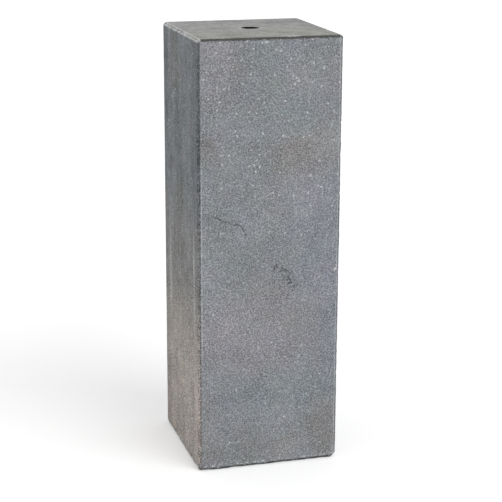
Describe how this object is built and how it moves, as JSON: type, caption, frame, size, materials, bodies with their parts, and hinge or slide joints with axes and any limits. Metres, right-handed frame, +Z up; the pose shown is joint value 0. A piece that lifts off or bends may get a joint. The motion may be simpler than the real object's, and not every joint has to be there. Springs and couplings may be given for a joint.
{
  "type": "bluestone post",
  "caption": "Square sawn bluestone post that stands on end, with chamfered arrises and a dowel hole drilled down the middle of its top.",
  "frame": {"origin": "middle of the foot, on the surface that the post stands on", "axes": "+Z up along the post's length; the front face looks along -Y and the left face along -X"},
  "size_m": [0.2, 0.2, 0.6],
  "materials": {
    "bluestone": "sawn and lightly honed blue-grey limestone, fine-grained and matt"
  },
  "bodies": {
    "root": {"stone_post": "bluestone"}
  },
  "joints": []
}
